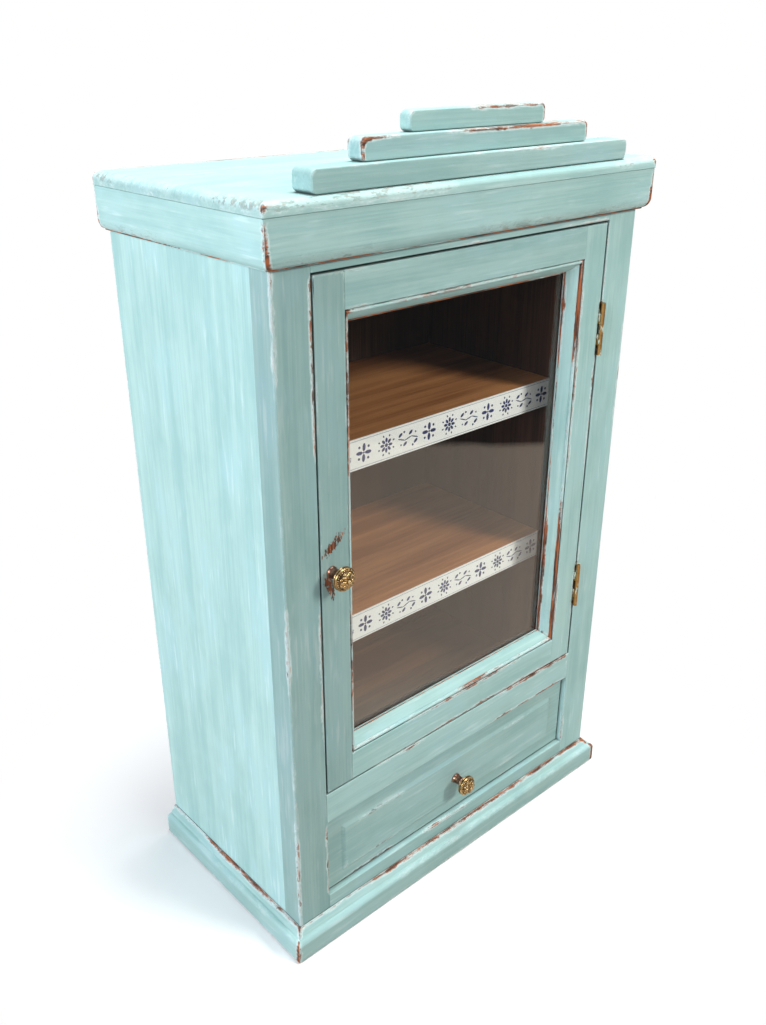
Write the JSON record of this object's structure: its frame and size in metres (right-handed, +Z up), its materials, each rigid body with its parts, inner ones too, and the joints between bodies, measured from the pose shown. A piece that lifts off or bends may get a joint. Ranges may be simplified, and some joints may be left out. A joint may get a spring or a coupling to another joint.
{
  "type": "thimble display case",
  "caption": "Small painted wooden display cabinet with a glazed hinged door over one drawer, edged shelves inside, moulded cornice and plinth, and a stepped pediment.",
  "frame": {"origin": "middle of the carcass's underside, on the ground", "axes": "+Z up, front faces -Y, width along X"},
  "size_m": [0.3334, 0.186, 0.5549],
  "materials": {
    "painted_wood": "blue-green chalk paint, brushed and worn through at the edges",
    "stained_wood": "dark brown stain, satin",
    "shelf_wood": "light brown stain, satin",
    "plain_wood": "bare softwood",
    "shelf_edging": "white printed strip with small blue motifs",
    "glass": "clear",
    "antique_brass": "antique brass, dulled",
    "steel": "plain"
  },
  "bodies": {
    "case": {"side_left": "painted_wood", "side_right": "painted_wood", "lining_left": "stained_wood", "lining_right": "stained_wood", "base_board": "plain_wood", "display_floor": "stained_wood", "ceiling_board": "stained_wood", "back_panel": "stained_wood", "top_board": "painted_wood", "frame_stile_left": "painted_wood", "frame_stile_right": "painted_wood", "frame_rail_top": "painted_wood", "frame_rail_middle": "painted_wood", "frame_rail_bottom": "painted_wood", "cornice_front": "painted_wood", "cornice_left": "painted_wood", "cornice_right": "painted_wood", "plinth_front": "painted_wood", "plinth_left": "painted_wood", "plinth_right": "painted_wood", "pediment_lower": "painted_wood", "pediment_middle": "painted_wood", "pediment_upper": "painted_wood", "shelf_upper": "shelf_wood", "shelf_lower": "shelf_wood", "shelf_edging_upper": "shelf_edging", "shelf_edging_lower": "shelf_edging", "drawer_runner_left": "plain_wood", "drawer_runner_right": "plain_wood", "drawer_stops": "plain_wood", "hinge_upper_frame_leaf": "antique_brass", "hinge_lower_frame_leaf": "antique_brass", "hinge_pins": "antique_brass", "hinge_screws_frame": "antique_brass", "door_magnet": "steel"},
    "door": {"door_stile_left": "painted_wood", "door_stile_right": "painted_wood", "door_rail_top": "painted_wood", "door_rail_bottom": "painted_wood", "glazing_moulding_left": "painted_wood", "glazing_moulding_right": "painted_wood", "glazing_moulding_top": "painted_wood", "glazing_moulding_bottom": "painted_wood", "glass_pane": "glass", "glass_beads": "stained_wood", "hinge_upper_door_leaf": "antique_brass", "hinge_lower_door_leaf": "antique_brass", "hinge_screws_door": "antique_brass", "door_knob": "antique_brass", "door_knob_screw": "steel", "strike_plate": "steel"},
    "drawer": {"drawer_front": "painted_wood", "drawer_side_left": "plain_wood", "drawer_side_right": "plain_wood", "drawer_back": "plain_wood", "drawer_bottom": "plain_wood", "drawer_knob": "antique_brass", "drawer_knob_screw": "steel"}
  },
  "joints": [
    {"name": "door_hinge", "type": "hinge", "parent": "case", "child": "door", "pos_m": [0.1275, -0.0862, 0], "axis": [0, 0, 1], "range_deg": [0, 175]},
    {"name": "drawer_slide", "type": "slide", "parent": "case", "child": "drawer", "axis": [0, -1, 0], "range_m": [0, 0.115]}
  ]
}
